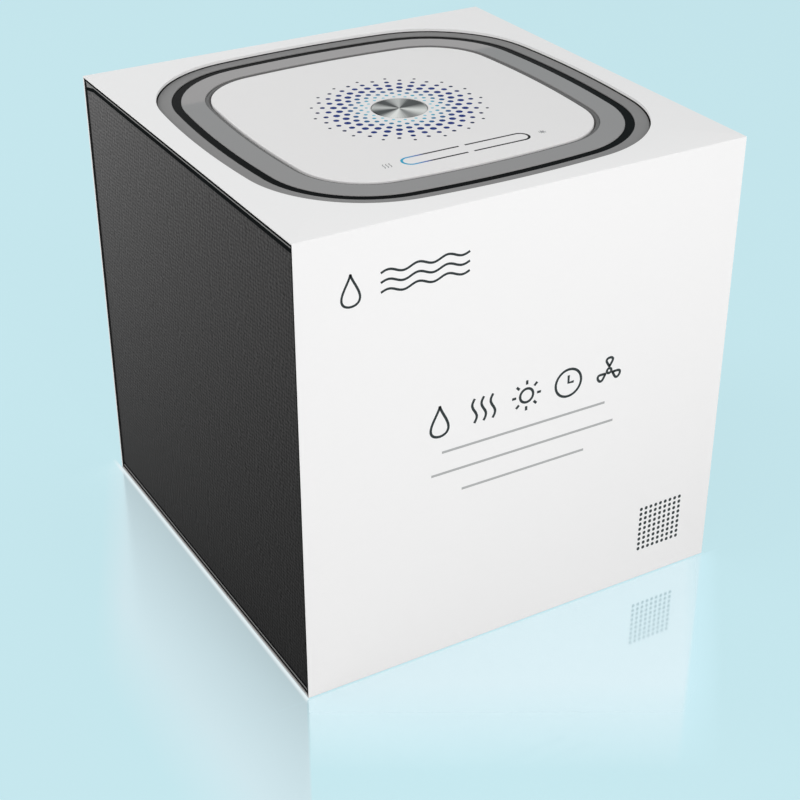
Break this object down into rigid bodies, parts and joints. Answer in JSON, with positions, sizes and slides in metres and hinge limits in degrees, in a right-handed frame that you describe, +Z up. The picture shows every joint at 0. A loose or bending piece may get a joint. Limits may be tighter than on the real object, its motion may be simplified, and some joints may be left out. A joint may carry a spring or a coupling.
{
  "type": "boxed hearing aid dryer",
  "caption": "White sleeve with a rounded window over a dark box holding a hearing aid dryer: lift-off hood with one metal button, dot lights, fan, heater and lamp.",
  "frame": {"origin": "centre of the sleeve's bottom face, where the box rests", "axes": "+Z up, the white front faces -Y, the sleeve is open at both X ends and the box slides out towards -X"},
  "size_m": [0.17, 0.17, 0.17],
  "materials": {
    "sleeve_board": "matt white coated board",
    "dark_paper": "dark linen-embossed paper",
    "black_board": "matt black paper over board",
    "grey_board": "raw grey board",
    "kraft_board": "plain folded board",
    "foam": "closed-cell foam",
    "grey_plastic": "smoked grey, glossy",
    "white_plastic": "satin white",
    "black_plastic": "matt black",
    "liner_aluminium": "bright rolled sheet",
    "silicone": "soft silicone",
    "foot_rubber": "rubber",
    "steel": "zinc-plated steel",
    "button_metal": "radially brushed",
    "spring_steel": "drawn wire",
    "light_guide": "lit translucent guide",
    "line_guide": "lit translucent guide",
    "circuit_board": "solder-masked laminate",
    "component_black": "moulded component",
    "component_white": "nylon and lamp packages",
    "can_metal": "drawn can",
    "ceramic_bar": "heating ceramic",
    "sink_aluminium": "extruded fins",
    "quartz": "clear quartz",
    "bush_bronze": "sintered bronze",
    "coil_copper": "enamelled copper winding",
    "lead_skin": "soft lead insulation",
    "filter_foam": "open-cell foam"
  },
  "bodies": {
    "sleeve": {"outer_sleeve": "sleeve_board"},
    "inner_box": {"box_base_board": "black_board", "lower_edge_board": "grey_board", "box_walls": "dark_paper", "upper_edge_board": "grey_board", "box_rim_cover": "black_board", "riser": "kraft_board", "cradle": "foam"},
    "dryer_base": {"base_tray": "grey_plastic", "base_deck": "white_plastic", "base_weight": "steel", "drying_mat": "silicone", "rubber_feet": "foot_rubber", "base_screws": "steel"},
    "hood": {"hood_shell": "grey_plastic", "rim_seal": "silicone", "chamber_liner": "liner_aluminium", "trim_ring": "black_plastic", "gloss_bezel": "grey_plastic", "bevel_ring": "grey_plastic", "top_plate": "white_plastic", "dot_light_guide": "light_guide", "heat_light_line": "line_guide", "lamp_light_line": "line_guide", "button_guide": "black_plastic", "button_spring": "spring_steel", "tact_switch": "component_black", "led_board": "circuit_board", "indicator_leds": "component_white", "board_spacers": "component_white", "control_board": "circuit_board", "board_screws": "steel", "control_chip": "component_black", "capacitors": "can_metal", "board_sockets": "component_white", "chamber_ceiling": "white_plastic", "ceiling_screws": "steel", "intake_filter": "filter_foam", "fan_frame": "black_plastic", "fan_bearing": "bush_bronze", "fan_stator": "coil_copper", "heater_frame": "component_white", "heater_bars": "ceramic_bar", "heater_fins": "sink_aluminium", "fan_screws": "steel", "uv_board": "sink_aluminium", "uv_leds": "component_white", "uv_window": "quartz", "uv_heat_sink": "sink_aluminium", "temperature_probe": "steel", "dc_jack": "black_plastic", "power_lead": "lead_skin", "lamp_lead": "lead_skin", "fan_lead": "lead_skin", "heater_lead": "lead_skin"},
    "start_button": {"button_disc": "button_metal", "button_plunger": "black_plastic"},
    "fan_wheel": {"fan_rotor": "black_plastic", "fan_shaft": "steel"}
  },
  "joints": [
    {"name": "box_slide", "type": "slide", "parent": "sleeve", "child": "inner_box", "axis": [-1, 0, 0], "range_m": [0, 0.172]},
    {"name": "dryer_lift", "type": "slide", "parent": "inner_box", "child": "dryer_base", "axis": [0, 0, 1], "range_m": [0, 0.112]},
    {"name": "hood_lift", "type": "slide", "parent": "dryer_base", "child": "hood", "axis": [0, 0, 1], "range_m": [0, 0.1]},
    {"name": "button_press", "type": "slide", "parent": "hood", "child": "start_button", "axis": [0, 0, -1], "range_m": [0, 0.001], "stiffness_N_per_m": 1500, "springref_m": -0.0005, "deforming": ["button_spring"]},
    {"name": "fan_spin", "type": "hinge", "parent": "hood", "child": "fan_wheel", "pos_m": [0, 0.034, 0.149], "axis": [0, 0, 1], "continuous": true}
  ]
}
